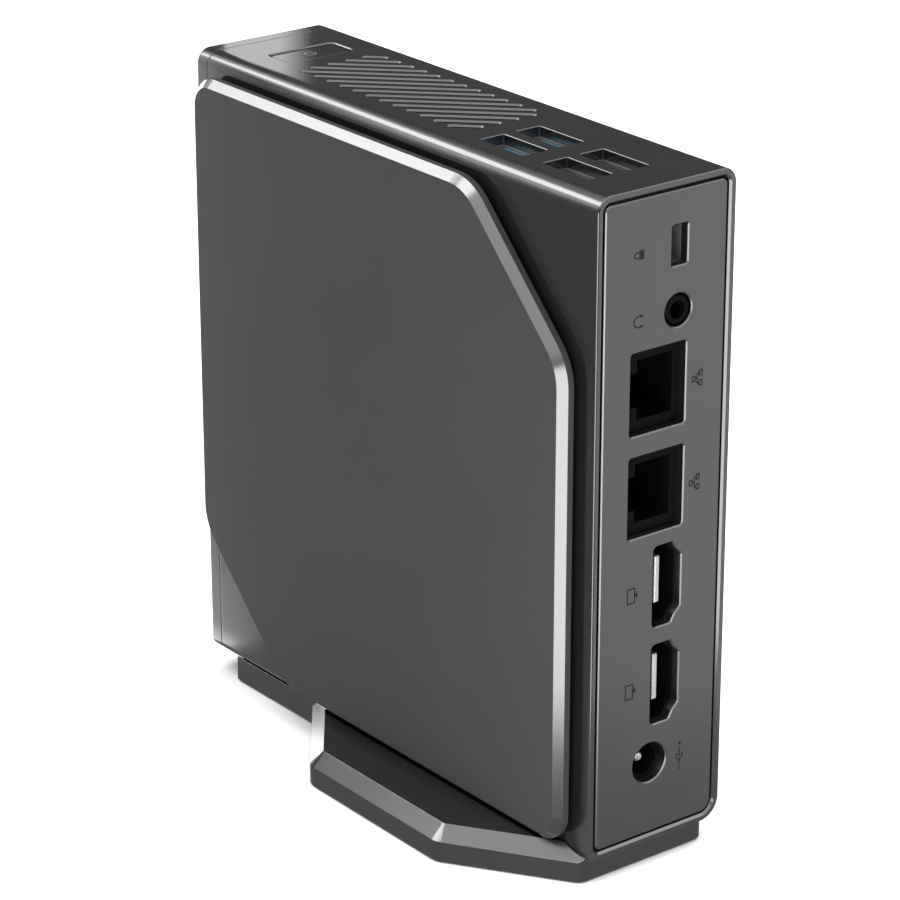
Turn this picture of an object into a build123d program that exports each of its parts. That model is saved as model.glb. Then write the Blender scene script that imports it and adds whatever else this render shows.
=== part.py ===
from build123d import *
import math
import os

# A slim upright mini pc on its foot stand.
# +Z is up and +Y is the rear, where the sockets are. The origin is on the floor, under
# the middle of the stand. Places inside the case are given in the case's own frame:
# x across its thickness, y to the rear, z up from the case's underside.

os.makedirs("parts", exist_ok=True)

# ---- driving dimensions, in millimetres ----
case_width = 33.6
case_depth = 129.0
case_height = 135.0
case_lift = 5.2          # the case's underside above the floor
case_x = -1.55           # the case's middle from the stand's middle
wall = 2.0
top_radius = 3.2         # long edges of the case, seen along y
base_radius = 1.9
base_back_radius = 4.5

front_cover_depth = 4.3
panel_thickness = 2.0
panel_gap = 0.45
rim_chamfer = 0.45
seam_gap = 0.3
panel_recess = 0.2
rim = 1.55

plate_thickness = 2.9
plate_standoff = 1.6
plate_chamfer = 1.55

board_thickness = 1.6
board_front = -6.0       # the mainboard's component side, across the thickness

half_width = case_width / 2
half_depth = case_depth / 2
cavity_half = half_width - wall
cavity_top = case_height - wall
seam_y = -half_depth + front_cover_depth
panel_face = half_depth - panel_recess
panel_back = panel_face - panel_thickness
board_back = board_front - board_thickness

case = Plane(origin=(case_x, 0, case_lift))


def across_x(x):
    """A plane in the case facing +X, with y and z as its own axes."""
    return Plane(origin=(case_x + x, 0, case_lift), x_dir=(0, 1, 0), z_dir=(1, 0, 0))


def across_y(y):
    """A plane in the case facing -Y, with x and z as its own axes."""
    return Plane(origin=(case_x, y, case_lift), x_dir=(1, 0, 0), z_dir=(0, -1, 0))


def across_z(z):
    """A level plane in the case, with x and y as its own axes."""
    return Plane(origin=(case_x, 0, case_lift + z))


def block(low, high, mode=Mode.ADD):
    """A box between two corners of the case's frame."""
    with Locations(tuple((a + b) / 2 for a, b in zip(low, high))):
        Box(*(b - a for a, b in zip(low, high)), mode=mode)


def plate(plane, centre, size, depth, radius=0.0, mode=Mode.ADD):
    """A rectangle on a plane, with rounded corners or none, extruded."""
    with BuildSketch(plane) as profile:
        with Locations(centre):
            if radius > 0:
                RectangleRounded(size[0], size[1], radius)
            else:
                Rectangle(size[0], size[1])
    extrude(profile.sketch, amount=depth, mode=mode)


def rods(plane, centres, radius, depth, mode=Mode.ADD):
    """Round bars or holes that start on a plane."""
    with BuildSketch(plane) as profile:
        with Locations(*centres):
            Circle(radius)
    extrude(profile.sketch, amount=depth, mode=mode)


def case_outline(inset=0.0, least_radius=0.4):
    """The case's section across its depth, shrunk by inset, in the current sketch."""
    with Locations((0, case_height / 2)):
        Rectangle(case_width - 2 * inset, case_height - 2 * inset)
    fillet(vertices().group_by(Axis.Y)[-1], max(top_radius - inset, least_radius))
    fillet(vertices().group_by(Axis.Y)[0].sort_by(Axis.X)[0], max(base_back_radius - inset, least_radius))
    fillet(vertices().group_by(Axis.Y)[0].sort_by(Axis.X)[-1], max(base_radius - inset, least_radius))


# ---- places shared between pieces, in the case's frame ----
usb_columns = {"a": -1.05, "b": 7.75}        # x of the two ports in a stack
usb_rows = {"usb3": 28.85, "usb2": 47.75}    # y of the two stacks
usb_cutout = (6.0, 13.3)
usb_corner = 0.4
usb_mouth = (5.1, 12.5)

button_centre = (0.0, -47.25)
button_size = (15.6, 6.8)
button_gap = 0.4
button_corner = 0.9
button_opening = (button_size[0] + 2 * button_gap, button_size[1] + 2 * button_gap)
switch_x = -4.2

vent_half_width = 10.1
vent_ends = (-38.0, 16.4)
vent_pitch = 4.37
vent_first = -44.2
vent_slot = 1.3
vent_rows = 17
vent_chamfer = 0.32
usb_chamfer = 0.12
button_chamfer = 0.25

lock_centre = (-3.3, 122.25)
lock_size = (3.9, 7.9)
lock_corner = 0.4
audio_centre = (-3.25, 109.45)
audio_hole = 3.3
lan_heights = {"upper": 94.8, "lower": 73.95}
lan_middle_x = 1.3
lan_cutout = (13.6, 16.5)
hdmi_heights = {"upper": 54.2, "lower": 33.6}
hdmi_middle_x = -2.03
hdmi_cutout = (6.95, 16.8)
hdmi_slope = (2.3, 3.0)         # legs of the sloped corners on the -X side
hdmi_shoulder = (1.5, 1.5)      # the step in each slope, from the corner
dc_centre = (1.46, 17.18)
dc_hole = 4.16

plate_y = (-60.25, 60.25)
plate_z = (2.65, 131.2)
plate_cut = 29.0         # legs of the two cut corners
post_spots = [(-46, 112), (-46, 42), (42, 92), (44, 24)]

cover_size = (112.0, 122.0)
cover_centre = (1.5, 67.5)
cover_thickness = 1.4
ledge = 5.0
ledge_inner = -half_width + 3.2
cover_pocket = -half_width + cover_thickness + 0.1
screw_y = (cover_size[0] - ledge) / 2
screw_z = (cover_size[1] - ledge) / 2
screw_spots = [
    (cover_centre[0] + side * screw_y, cover_centre[1] + level * screw_z)
    for side in (-1, 1)
    for level in (-1, 1)
]

board_y = (-55.5, 61.5)
board_z = (4.5, 130.3)
board_spots = [(-50, 9.5), (-50, 108), (36, 109.5), (40, 9.5)]
cooler_y = -10.0
cooler_z = 66.0
fan_z = 81.0
fan_hub = [(cooler_y, fan_z)]

# ---- main shell: a tube open at both ends, with the base opening on its -X side ----
grille_rings = {6.0: 8, 11.0: 14, 16.0: 20, 21.0: 26}
grille_hole = 1.6

with BuildPart(case) as main_shell:
    with BuildSketch(across_y(half_depth)):
        case_outline()
    extrude(amount=half_depth - seam_y)
    rear_rim = faces().filter_by(Axis.Y).sort_by(Axis.Y)[-1]
    fillet(rear_rim.edges(), 0.35)
    with BuildSketch(across_y(half_depth)):
        case_outline(wall)
    extrude(amount=half_depth - seam_y, mode=Mode.SUBTRACT)

    # the ledge that carries the base cover, with its screw bosses
    block((-cavity_half - 0.5, seam_y + 4.5, 3.0), (ledge_inner, panel_back, case_height - 3.0))
    rods(across_x(ledge_inner), screw_spots, 2.6, 3.0)
    opening_size = (cover_size[0] - 2 * ledge, cover_size[1] - 2 * ledge)
    plate(across_x(-half_width - 1), cover_centre, opening_size, 6, 2.0, Mode.SUBTRACT)
    pocket_depth = 1 + cover_pocket + half_width
    plate(across_x(-half_width - 1), cover_centre, cover_size, pocket_depth, 3.0, Mode.SUBTRACT)
    rods(across_x(cover_pocket), screw_spots, 1.0, 4.0, Mode.SUBTRACT)

    # the rebate for the rear panel
    with BuildSketch(across_y(half_depth + 1)):
        case_outline(rim, 1.5)
    extrude(amount=1 + half_depth - panel_back, mode=Mode.SUBTRACT)
    chamfer(edges(Select.LAST).group_by(Axis.Y)[-1], rim_chamfer)

    # top face: usb cut-outs, power button opening and slanted vent slots
    with BuildSketch(across_z(case_height + 1)):
        for port_x in usb_columns.values():
            for port_y in usb_rows.values():
                with Locations((port_x, port_y)):
                    RectangleRounded(usb_cutout[0], usb_cutout[1], usb_corner)
    extrude(amount=-wall - 2, mode=Mode.SUBTRACT)
    chamfer(edges(Select.LAST).group_by(Axis.Z)[-1], usb_chamfer)
    with BuildSketch(across_z(case_height + 1)):
        with Locations(button_centre):
            RectangleRounded(button_opening[0], button_opening[1], button_corner + button_gap)
    extrude(amount=-wall - 2, mode=Mode.SUBTRACT)
    chamfer(edges(Select.LAST).group_by(Axis.Z)[-1], button_chamfer)
    with BuildSketch(across_z(case_height + 1)):
        end_inset = vent_slot / 2
        for row in range(vent_rows):
            crossing = vent_first + row * vent_pitch
            x_start = max(-vent_half_width, crossing - vent_ends[1]) + end_inset
            x_end = min(vent_half_width, crossing - vent_ends[0]) - end_inset
            if x_end - x_start > 1.0:
                middle = (x_start + x_end) / 2
                with Locations((middle, crossing - middle)):
                    SlotCenterToCenter((x_end - x_start) * math.sqrt(2), vent_slot, rotation=-45)
    extrude(amount=-wall - 2, mode=Mode.SUBTRACT)
    chamfer(edges(Select.LAST).group_by(Axis.Z)[-1], vent_chamfer)

    # side wall behind the floating plate: air intake and screw holes
    with BuildSketch(across_x(cavity_half - 1)):
        with Locations(fan_hub[0]):
            for ring_radius, count in grille_rings.items():
                with PolarLocations(ring_radius, count):
                    Circle(grille_hole)
    extrude(amount=wall + 2, mode=Mode.SUBTRACT)
    rods(across_x(cavity_half - 1), post_spots, 1.65, wall + 2, Mode.SUBTRACT)
main_shell.part.label = "main_shell"
export_step(main_shell.part, "parts/main_shell.step")

# ---- front cover: a shallow cap with a lip that plugs into the shell ----
cap_wall = 2.2
lip_gap = 0.15
lip_thickness = 1.2

with BuildPart() as front_cover:
    with BuildSketch(across_y(seam_y - seam_gap)):
        case_outline()
    extrude(amount=front_cover_depth - seam_gap)
    front_face = faces().filter_by(Axis.Y).sort_by(Axis.Y)[0]
    fillet(front_face.edges(), 0.8)
    with BuildSketch(across_y(seam_y + 4)):
        case_outline(wall + lip_gap)
    extrude(amount=5)
    with BuildSketch(across_y(seam_y + 4)):
        case_outline(wall + lip_gap + lip_thickness)
    extrude(amount=4 + front_cover_depth - cap_wall, mode=Mode.SUBTRACT)
front_cover.part.label = "front_cover"
export_step(front_cover.part, "parts/front_cover.step")

# ---- rear panel: the socket plate, with two tongues that clip inside the shell ----
socket_edge = 0.25
tongue_depth = 4.5


def hdmi_outline(inset, rounding, wide_rounding):
    """The display socket's outline: wide on its +X side, stepped and sloped in on its -X side."""
    width, height = (side / 2 - inset for side in hdmi_cutout)
    with BuildLine() as outline:
        Polyline(
            (width, -height),
            (width, height),
            (-width + hdmi_slope[0], height),
            (-width + hdmi_shoulder[0], height - hdmi_shoulder[1]),
            (-width, height - hdmi_slope[1]),
            (-width, -height + hdmi_slope[1]),
            (-width + hdmi_shoulder[0], -height + hdmi_shoulder[1]),
            (-width + hdmi_slope[0], -height),
            close=True,
        )
    make_face(outline.edges())
    fillet(vertices().group_by(Axis.X)[-1], wide_rounding)
    fillet(vertices().sort_by(Axis.X)[:6], rounding)


with BuildPart() as rear_panel:
    with BuildSketch(across_y(panel_face)):
        case_outline(rim + panel_gap, 1.2)
    extrude(amount=panel_thickness)
    for level in (wall + 0.1, cavity_top - 1.3):
        plate(across_y(panel_back + 0.5), (0, level + 0.6), (16, 1.2), tongue_depth + 0.5)
    with BuildSketch(across_y(panel_face)):
        with Locations(lock_centre):
            RectangleRounded(lock_size[0], lock_size[1], lock_corner)
        with Locations(audio_centre):
            Circle(audio_hole)
        for height in lan_heights.values():
            with Locations((lan_middle_x, height)):
                RectangleRounded(lan_cutout[0], lan_cutout[1], 0.6)
        with Locations(dc_centre):
            Circle(dc_hole)
    extrude(amount=panel_thickness, mode=Mode.SUBTRACT)
    for height in hdmi_heights.values():
        socket_plane = Plane(
            origin=(case_x + hdmi_middle_x, panel_face, case_lift + height), x_dir=(1, 0, 0), z_dir=(0, -1, 0)
        )
        with BuildSketch(socket_plane):
            hdmi_outline(0, 0.3, 1.0)
        extrude(amount=panel_thickness, mode=Mode.SUBTRACT)
    outer_face = faces().filter_by(Axis.Y).sort_by(Axis.Y)[-1]
    chamfer(outer_face.edges(), socket_edge)
rear_panel.part.label = "rear_panel"
export_step(rear_panel.part, "parts/rear_panel.step")

# ---- floating side plate, with two cut corners and a chamfered edge ----
plate_back = half_width + plate_standoff

with BuildPart() as side_plate:
    with BuildSketch(across_x(plate_back)):
        with BuildLine():
            Polyline(
                (plate_y[0], plate_z[0] + plate_cut),
                (plate_y[0], plate_z[1]),
                (plate_y[1] - plate_cut, plate_z[1]),
                (plate_y[1], plate_z[1] - plate_cut),
                (plate_y[1], plate_z[0]),
                (plate_y[0] + plate_cut, plate_z[0]),
                close=True,
            )
        make_face()
        square_corners = vertices().filter_by(
            lambda corner: (corner.X < -50 and corner.Y > 120) or (corner.X > 50 and corner.Y < 10)
        )
        fillet(square_corners, 6.5)
        fillet(vertices().filter_by(lambda corner: abs(corner.X + corner.Y - 67) > 80), 12.0)
    extrude(amount=plate_thickness)
    chamfer(faces().filter_by(Axis.X).sort_by(Axis.X)[-1].edges(), plate_chamfer)
    rods(across_x(plate_back), post_spots, 1.5, 1.9, Mode.SUBTRACT)
side_plate.part.label = "side_plate"
export_step(side_plate.part, "parts/side_plate.step")

with BuildPart() as plate_posts:
    rods(across_x(half_width), post_spots, 4.0, plate_standoff)
    rods(across_x(half_width), post_spots, 1.65, plate_standoff, Mode.SUBTRACT)
plate_posts.part.label = "plate_posts"
export_step(plate_posts.part, "parts/plate_posts.step")

with BuildPart() as plate_screws:
    rods(across_x(cavity_half - 1.6), post_spots, 2.7, 1.6)
    rods(across_x(cavity_half), post_spots, 1.4, wall + plate_standoff + 1.7)
    rods(across_x(cavity_half - 1.6), post_spots, 0.9, 0.9, Mode.SUBTRACT)
plate_screws.part.label = "plate_screws"
export_step(plate_screws.part, "parts/plate_screws.step")

# ---- base cover on the -X side, with intake slots, its screws and four rubber feet ----
foot_spots = [
    (cover_centre[0] + side * 42, cover_centre[1] + level * 47)
    for side in (-1, 1)
    for level in (-1, 1)
]
foot_radius = 6.0
foot_height = 1.4
screw_head = 2.3

with BuildPart() as base_cover:
    plate(
        across_x(-half_width),
        cover_centre,
        (cover_size[0] - 0.4, cover_size[1] - 0.4),
        cover_thickness,
        2.8,
    )
    rods(across_x(-half_width), foot_spots, foot_radius + 0.1, 0.6, Mode.SUBTRACT)
    with BuildSketch(across_x(-half_width)):
        with Locations((cover_centre[0], cover_centre[1])):
            with GridLocations(0, 5.0, 1, 12):
                SlotOverall(52, 2.0)
    extrude(amount=cover_thickness, mode=Mode.SUBTRACT)
    rods(across_x(-half_width), screw_spots, 1.25, cover_thickness, Mode.SUBTRACT)
    rods(across_x(-half_width), screw_spots, screw_head + 0.1, 0.8, Mode.SUBTRACT)
base_cover.part.label = "base_cover"
export_step(base_cover.part, "parts/base_cover.step")

with BuildPart() as base_screws:
    rods(across_x(-half_width + 0.1), screw_spots, screw_head, 0.7)
    rods(across_x(-half_width + 0.8), screw_spots, 0.95, 4.2)
    rods(across_x(-half_width + 0.1), screw_spots, 0.8, 0.5, Mode.SUBTRACT)
base_screws.part.label = "base_screws"
export_step(base_screws.part, "parts/base_screws.step")

with BuildPart() as base_feet:
    rods(across_x(-half_width + 0.6 - foot_height), foot_spots, foot_radius, foot_height)
    chamfer(faces().filter_by(Axis.X).group_by(Axis.X)[0].edges(), 0.4)
base_feet.part.label = "base_feet"
export_step(base_feet.part, "parts/base_feet.step")

# ---- mainboard, held by posts from the side wall ----
with BuildPart(case) as mainboard:
    block((board_back, board_y[0], board_z[0]), (board_front, board_y[1], board_z[1]))
    corner_edges = edges().filter_by(Axis.X)
    fillet(corner_edges, 2.0)
    rods(across_x(board_back), board_spots, 1.45, board_thickness, Mode.SUBTRACT)
mainboard.part.label = "mainboard"
export_step(mainboard.part, "parts/mainboard.step")

with BuildPart() as board_posts:
    rods(across_x(board_front), board_spots, 2.6, cavity_half - board_front)
    rods(across_x(board_front), board_spots, 1.05, 6.0, Mode.SUBTRACT)
board_posts.part.label = "board_posts"
export_step(board_posts.part, "parts/board_posts.step")

with BuildPart() as board_screws:
    rods(across_x(board_back - 1.3), board_spots, 2.3, 1.3)
    rods(across_x(board_back), board_spots, 1.0, 6.0)
    rods(across_x(board_back - 1.3), board_spots, 0.8, 0.8, Mode.SUBTRACT)
board_screws.part.label = "board_screws"
export_step(board_screws.part, "parts/board_screws.step")

# ---- power button and its switch ----
button_top = case_height - 0.25
button_flange = (17.6, 8.8)
flange_top = cavity_top - 0.25
flange_thickness = 0.8
plunger_top = 126.6

with BuildPart() as power_button:
    plate(across_z(flange_top - 0.1), button_centre, button_size, button_top - flange_top + 0.1, button_corner)
    fillet(faces().filter_by(Axis.Z).sort_by(Axis.Z)[-1].edges(), 0.25)
    plate(across_z(flange_top - flange_thickness), button_centre, button_flange, flange_thickness, 1.6)
    rods(across_z(plunger_top), [(switch_x, button_centre[1])], 1.2, flange_top - 0.5 - plunger_top)
power_button.part.label = "power_button"
export_step(power_button.part, "parts/power_button.step")

switch_low = (board_front, button_centre[1] - 3.1, 120.6)
switch_high = (board_front + 3.6, button_centre[1] + 3.1, 125.4)

with BuildPart(case) as power_switch:
    block(switch_low, switch_high)
    rods(across_z(switch_high[2] - 1.6), [(switch_x, button_centre[1])], 1.0, 1.6, Mode.SUBTRACT)
power_switch.part.label = "power_switch"
export_step(power_switch.part, "parts/power_switch.step")

plunger_low = switch_high[2] - 0.9

with BuildPart() as switch_plunger:
    rods(across_z(plunger_low), [(switch_x, button_centre[1])], 0.92, plunger_top - plunger_low)
switch_plunger.part.label = "switch_plunger"
export_step(switch_plunger.part, "parts/switch_plunger.step")

# ---- usb stacks: a shell with two mouths, a tongue in each, and contact strips ----
usb_shell_top = cavity_top - 0.1
usb_shell_depth = 17.0
usb_mouth_depth = 11.5
tongue_x = -1.45          # a tongue's middle from its port's middle
tongue_size = (1.9, 11.1)
tongue_top = usb_shell_top - 0.3
contact_offsets = (-3.6, -1.2, 1.2, 3.6)
contact_half_width = 0.85
contact_thickness = 0.3

for name, row_y in usb_rows.items():
    with BuildPart(case) as usb_shell:
        block(
            (board_front, row_y - 6.95, usb_shell_top - usb_shell_depth),
            (usb_columns["b"] + 3.1, row_y + 6.95, usb_shell_top),
        )
        for port_x in usb_columns.values():
            plate(
                across_z(usb_shell_top - usb_mouth_depth),
                (port_x, row_y),
                usb_mouth,
                usb_mouth_depth,
                0.3,
                Mode.SUBTRACT,
            )
    usb_shell.part.label = f"{name}_shell"
    export_step(usb_shell.part, f"parts/{name}_shell.step")

    with BuildPart() as usb_tongues:
        for port_x in usb_columns.values():
            plate(
                across_z(usb_shell_top - usb_mouth_depth),
                (port_x + tongue_x, row_y),
                tongue_size,
                usb_mouth_depth - usb_shell_top + tongue_top,
            )
    usb_tongues.part.label = f"{name}_tongues"
    export_step(usb_tongues.part, f"parts/{name}_tongues.step")

with BuildPart(case) as usb_contacts:
    strip_x = tongue_x + tongue_size[0] / 2
    for row_y in usb_rows.values():
        for port_x in usb_columns.values():
            for offset_y in contact_offsets:
                contact_y = row_y + offset_y
                block(
                    (port_x + strip_x, contact_y - contact_half_width, tongue_top - 9.0),
                    (port_x + strip_x + contact_thickness, contact_y + contact_half_width, tongue_top - 0.1),
                )
usb_contacts.part.label = "usb_contacts"
export_step(usb_contacts.part, "parts/usb_contacts.step")

# ---- network sockets: a shielded housing with the plug's cavity and its latch notch ----
lan_length = 21.0
lan_cavity_depth = 14.0
lan_face = panel_back
lan_cavity_x = (-3.7, 4.9)
lan_cavity_width = 12.0
lan_notches = {5.6: (2.4, 6.9), 6.5: (2.6, 4.0)}    # the latch's two notches, by their middle in x
lan_wire_start = lan_face - 8.5

for place, height in lan_heights.items():
    with BuildPart(case) as lan_jack:
        block(
            (board_front, lan_face - lan_length, height - 8.1),
            (8.3, lan_face, height + 8.1),
        )
        cavity_middle = (sum(lan_cavity_x) / 2, height)
        cavity_size = (lan_cavity_x[1] - lan_cavity_x[0], lan_cavity_width)
        plate(across_y(lan_face), cavity_middle, cavity_size, lan_cavity_depth, 0.2, Mode.SUBTRACT)
        for notch_x, notch_size in lan_notches.items():
            plate(across_y(lan_face), (notch_x, height), notch_size, lan_cavity_depth, mode=Mode.SUBTRACT)
    lan_jack.part.label = f"lan_jack_{place}"
    export_step(lan_jack.part, f"parts/lan_jack_{place}.step")

wire_pitch = 1.02
wire_width = 0.35

with BuildPart() as lan_contacts:
    for height in lan_heights.values():
        for number in range(8):
            wire_z = height + (number - 3.5) * wire_pitch
            wire_plane = Plane(
                origin=(case_x, 0, case_lift + wire_z - wire_width / 2), x_dir=(1, 0, 0), z_dir=(0, 0, 1)
            )
            root = lan_face - lan_cavity_depth
            with BuildSketch(wire_plane):
                with BuildLine():
                    Polyline(
                        (lan_cavity_x[0], lan_wire_start),
                        (lan_cavity_x[0] + 0.3, lan_wire_start),
                        (lan_cavity_x[0] + 1.6, root + 1.4),
                        (lan_cavity_x[0] + 1.3, root + 1.2),
                        (lan_cavity_x[0], lan_wire_start - 0.5),
                        close=True,
                    )
                make_face()
            extrude(amount=wire_width)
lan_contacts.part.label = "lan_contacts"
export_step(lan_contacts.part, "parts/lan_contacts.step")

# ---- hdmi sockets: a sheet-metal shell with a tongue ----
hdmi_flange = 0.45        # how far the shell reaches past the panel's cut-out
hdmi_mouth_inset = 0.3
hdmi_length = 11.5
hdmi_depth = 9.0
hdmi_foot = 5.2
hdmi_tongue_size = (1.2, 9.7)
hdmi_tongue_x = hdmi_middle_x + 0.1
hdmi_tongue_setback = 0.8

for place, height in hdmi_heights.items():
    socket_plane = Plane(
        origin=(case_x + hdmi_middle_x, panel_back, case_lift + height), x_dir=(1, 0, 0), z_dir=(0, -1, 0)
    )
    with BuildPart(case) as hdmi_shell:
        with BuildSketch(socket_plane):
            hdmi_outline(-hdmi_flange, 0.3, 1.2)
        extrude(amount=hdmi_length)
        with BuildSketch(socket_plane):
            hdmi_outline(hdmi_mouth_inset, 0.2, 0.7)
        extrude(amount=hdmi_depth, mode=Mode.SUBTRACT)
        block(
            (board_front, panel_back - hdmi_length, height - hdmi_foot),
            (hdmi_middle_x - hdmi_cutout[0] / 2, panel_back - 1.0, height + hdmi_foot),
        )
    hdmi_shell.part.label = f"hdmi_shell_{place}"
    export_step(hdmi_shell.part, f"parts/hdmi_shell_{place}.step")

with BuildPart() as hdmi_tongues:
    for height in hdmi_heights.values():
        plate(
            across_y(panel_back - hdmi_tongue_setback),
            (hdmi_tongue_x, height),
            hdmi_tongue_size,
            hdmi_depth - hdmi_tongue_setback,
        )
    tip_faces = faces().filter_by(Axis.Y).group_by(Axis.Y)[-1]
    chamfer(tip_faces.edges(), 0.2)
hdmi_tongues.part.label = "hdmi_tongues"
export_step(hdmi_tongues.part, "parts/hdmi_tongues.step")

# ---- audio jack, power inlet and the steel pocket behind the lock slot ----
audio_bore = 1.8
audio_mouth = panel_face - 0.3
audio_back = 50.0
audio_barrel = 2.95

with BuildPart(case) as audio_jack:
    block(
        (board_front, audio_back, audio_centre[1] - 3.5),
        (audio_centre[0] + 2.75, panel_back, audio_centre[1] + 3.5),
    )
    rods(across_y(audio_mouth), [audio_centre], audio_barrel, audio_mouth - panel_back)
    rods(across_y(audio_mouth), [audio_centre], audio_bore, audio_mouth - audio_back - 1.5, Mode.SUBTRACT)
    mouth_edge = edges().filter_by(GeomType.CIRCLE).group_by(Axis.Y)[-1].sort_by(SortBy.RADIUS)[-1]
    chamfer(mouth_edge, 0.3)
audio_jack.part.label = "audio_jack"
export_step(audio_jack.part, "parts/audio_jack.step")

dc_bore = 3.2
dc_depth = 10.0
dc_back = 49.0
dc_half = 4.6

with BuildPart(case) as dc_jack:
    block(
        (board_front, dc_back, dc_centre[1] - dc_half),
        (dc_centre[0] + dc_half, panel_back, dc_centre[1] + dc_half),
    )
    rods(across_y(panel_back), [dc_centre], dc_bore, dc_depth, Mode.SUBTRACT)
dc_jack.part.label = "dc_jack"
export_step(dc_jack.part, "parts/dc_jack.step")

pin_tip = 61.3
pin_radius = 1.0

with BuildPart() as dc_pin:
    rods(across_y(pin_tip), [dc_centre], pin_radius, pin_tip - panel_back + dc_depth)
    fillet(edges().filter_by(GeomType.CIRCLE).group_by(Axis.Y)[-1], 0.7)
dc_pin.part.label = "dc_pin"
export_step(dc_pin.part, "parts/dc_pin.step")

lock_wall = 0.7
lock_pocket_size = (lock_size[0] + 2 * lock_wall, lock_size[1] + 2 * lock_wall)
lock_pocket_length = 7.0
lock_depth = 6.0

with BuildPart() as lock_pocket:
    plate(across_y(panel_back), lock_centre, lock_pocket_size, lock_pocket_length, 0.8)
    plate(across_y(panel_back), lock_centre, lock_size, lock_depth, lock_corner, Mode.SUBTRACT)
lock_pocket.part.label = "lock_pocket"
export_step(lock_pocket.part, "parts/lock_pocket.step")

# ---- cooler: processor, cold plate, heat pipes and fins ----
chip_top = board_front + 1.3
plate_front = chip_top + 2.0
pipe_thickness = 3.0
pipe_width = 6.0
pipe_front = plate_front + pipe_thickness
fins_y = (cooler_y - 26, cooler_y + 26)
fins_z = (116.5, 130.5)
fin_top = 13.8
fin_pitch = 1.625
fin_thickness = 0.4
cooler_spots = [(cooler_y + side * 20, cooler_z + level * 20) for side in (-1, 1) for level in (-1, 1)]

with BuildPart() as processor:
    plate(across_x(board_front), (cooler_y, cooler_z), (25, 24), 0.8)
    plate(across_x(board_front + 0.8), (cooler_y, cooler_z), (13, 9), 0.5)
processor.part.label = "processor"
export_step(processor.part, "parts/processor.step")

with BuildPart() as cold_plate:
    plate(across_x(chip_top), (cooler_y, cooler_z), (46, 46), 2.0, 3.0)
    rods(across_x(chip_top), cooler_spots, 1.3, 2.0, Mode.SUBTRACT)
cold_plate.part.label = "cold_plate"
export_step(cold_plate.part, "parts/cold_plate.step")

with BuildPart() as cooler_screws:
    rods(across_x(board_front), cooler_spots, 1.0, plate_front - board_front)
    rods(across_x(plate_front), cooler_spots, 2.1, 1.4)
cooler_screws.part.label = "cooler_screws"
export_step(cooler_screws.part, "parts/cooler_screws.step")

with BuildPart() as heat_pipes:
    pipe_start = cooler_y + 4.2
    pipe_plane = across_x(plate_front + pipe_thickness / 2)
    with BuildLine(pipe_plane) as pipe_route:
        FilletPolyline(
            (pipe_start, cooler_z - 20),
            (pipe_start, sum(fins_z) / 2),
            (fins_y[1] - 1, sum(fins_z) / 2),
            radius=12,
        )
    with BuildSketch(Plane(origin=pipe_route.line @ 0, x_dir=(0, 1, 0), z_dir=(0, 0, 1))):
        RectangleRounded(pipe_width, pipe_thickness, 1.2)
    sweep()
    mirror(about=Plane(origin=(0, cooler_y, 0), z_dir=(0, 1, 0)))
heat_pipes.part.label = "heat_pipes"
export_step(heat_pipes.part, "parts/heat_pipes.step")

fin_count = int((fins_y[1] - fins_y[0]) / fin_pitch) + 1

with BuildPart(case) as fin_stack:
    block((pipe_front, fins_y[0], fins_z[0]), (pipe_front + 0.8, fins_y[1], fins_z[1]))
    for number in range(fin_count):
        fin_y = fins_y[0] + number * fin_pitch
        block((pipe_front, fin_y, fins_z[0]), (fin_top, fin_y + fin_thickness, fins_z[1]))
fin_stack.part.label = "fin_stack"
export_step(fin_stack.part, "parts/fin_stack.step")

# ---- blower: housing, cover, stator, bearing and rotor ----
fan_back = 2.6
fan_floor = fan_back + 0.8
fan_lid = 13.2
fan_lid_top = 14.0
fan_radius = 30.5
scroll_radius = 28.0
outlet_half = 24.5
outlet_top = fins_z[0] - 0.3
hub_radius = 12.0
blade_root = 17.5
blade_tip = 25.5
blade_count = 27
shaft_radius = 0.9
bearing_bore = 0.94
ear_offset = 24.0
fan_screw_spots = [(cooler_y + side * ear_offset, fan_z - ear_offset) for side in (-1, 1)]
fan_screw_spots.append((cooler_y + ear_offset + 4.0, fan_z + ear_offset - 4.0))


def fan_outline(radius, half_outlet, ears):
    """The blower's plan: a round chamber and its outlet, with ears for the screws."""
    with Locations((cooler_y, fan_z)):
        Circle(radius)
    with Locations((cooler_y, (fan_z + outlet_top) / 2)):
        Rectangle(2 * half_outlet, outlet_top - fan_z)
    if ears:
        for spot in fan_screw_spots:
            with Locations(spot):
                Circle(4.0)
                Rectangle(8.0, 8.0)


with BuildPart() as fan_housing:
    with BuildSketch(across_x(fan_back)):
        fan_outline(fan_radius, outlet_half + 1.4, True)
    extrude(amount=fan_lid - fan_back)
    with BuildSketch(across_x(fan_floor)):
        fan_outline(scroll_radius, outlet_half, False)
    extrude(amount=fan_lid - fan_floor, mode=Mode.SUBTRACT)
    rods(across_x(fan_back), fan_screw_spots, 1.1, fan_lid - fan_back, Mode.SUBTRACT)
fan_housing.part.label = "fan_housing"
export_step(fan_housing.part, "parts/fan_housing.step")

with BuildPart() as fan_cover:
    with BuildSketch(across_x(fan_lid)):
        fan_outline(fan_radius, outlet_half + 1.4, True)
    extrude(amount=fan_lid_top - fan_lid)
    rods(across_x(fan_lid), fan_hub, 20.0, fan_lid_top - fan_lid, Mode.SUBTRACT)
    rods(across_x(fan_lid), fan_screw_spots, 1.1, fan_lid_top - fan_lid, Mode.SUBTRACT)
fan_cover.part.label = "fan_cover"
export_step(fan_cover.part, "parts/fan_cover.step")

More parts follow.
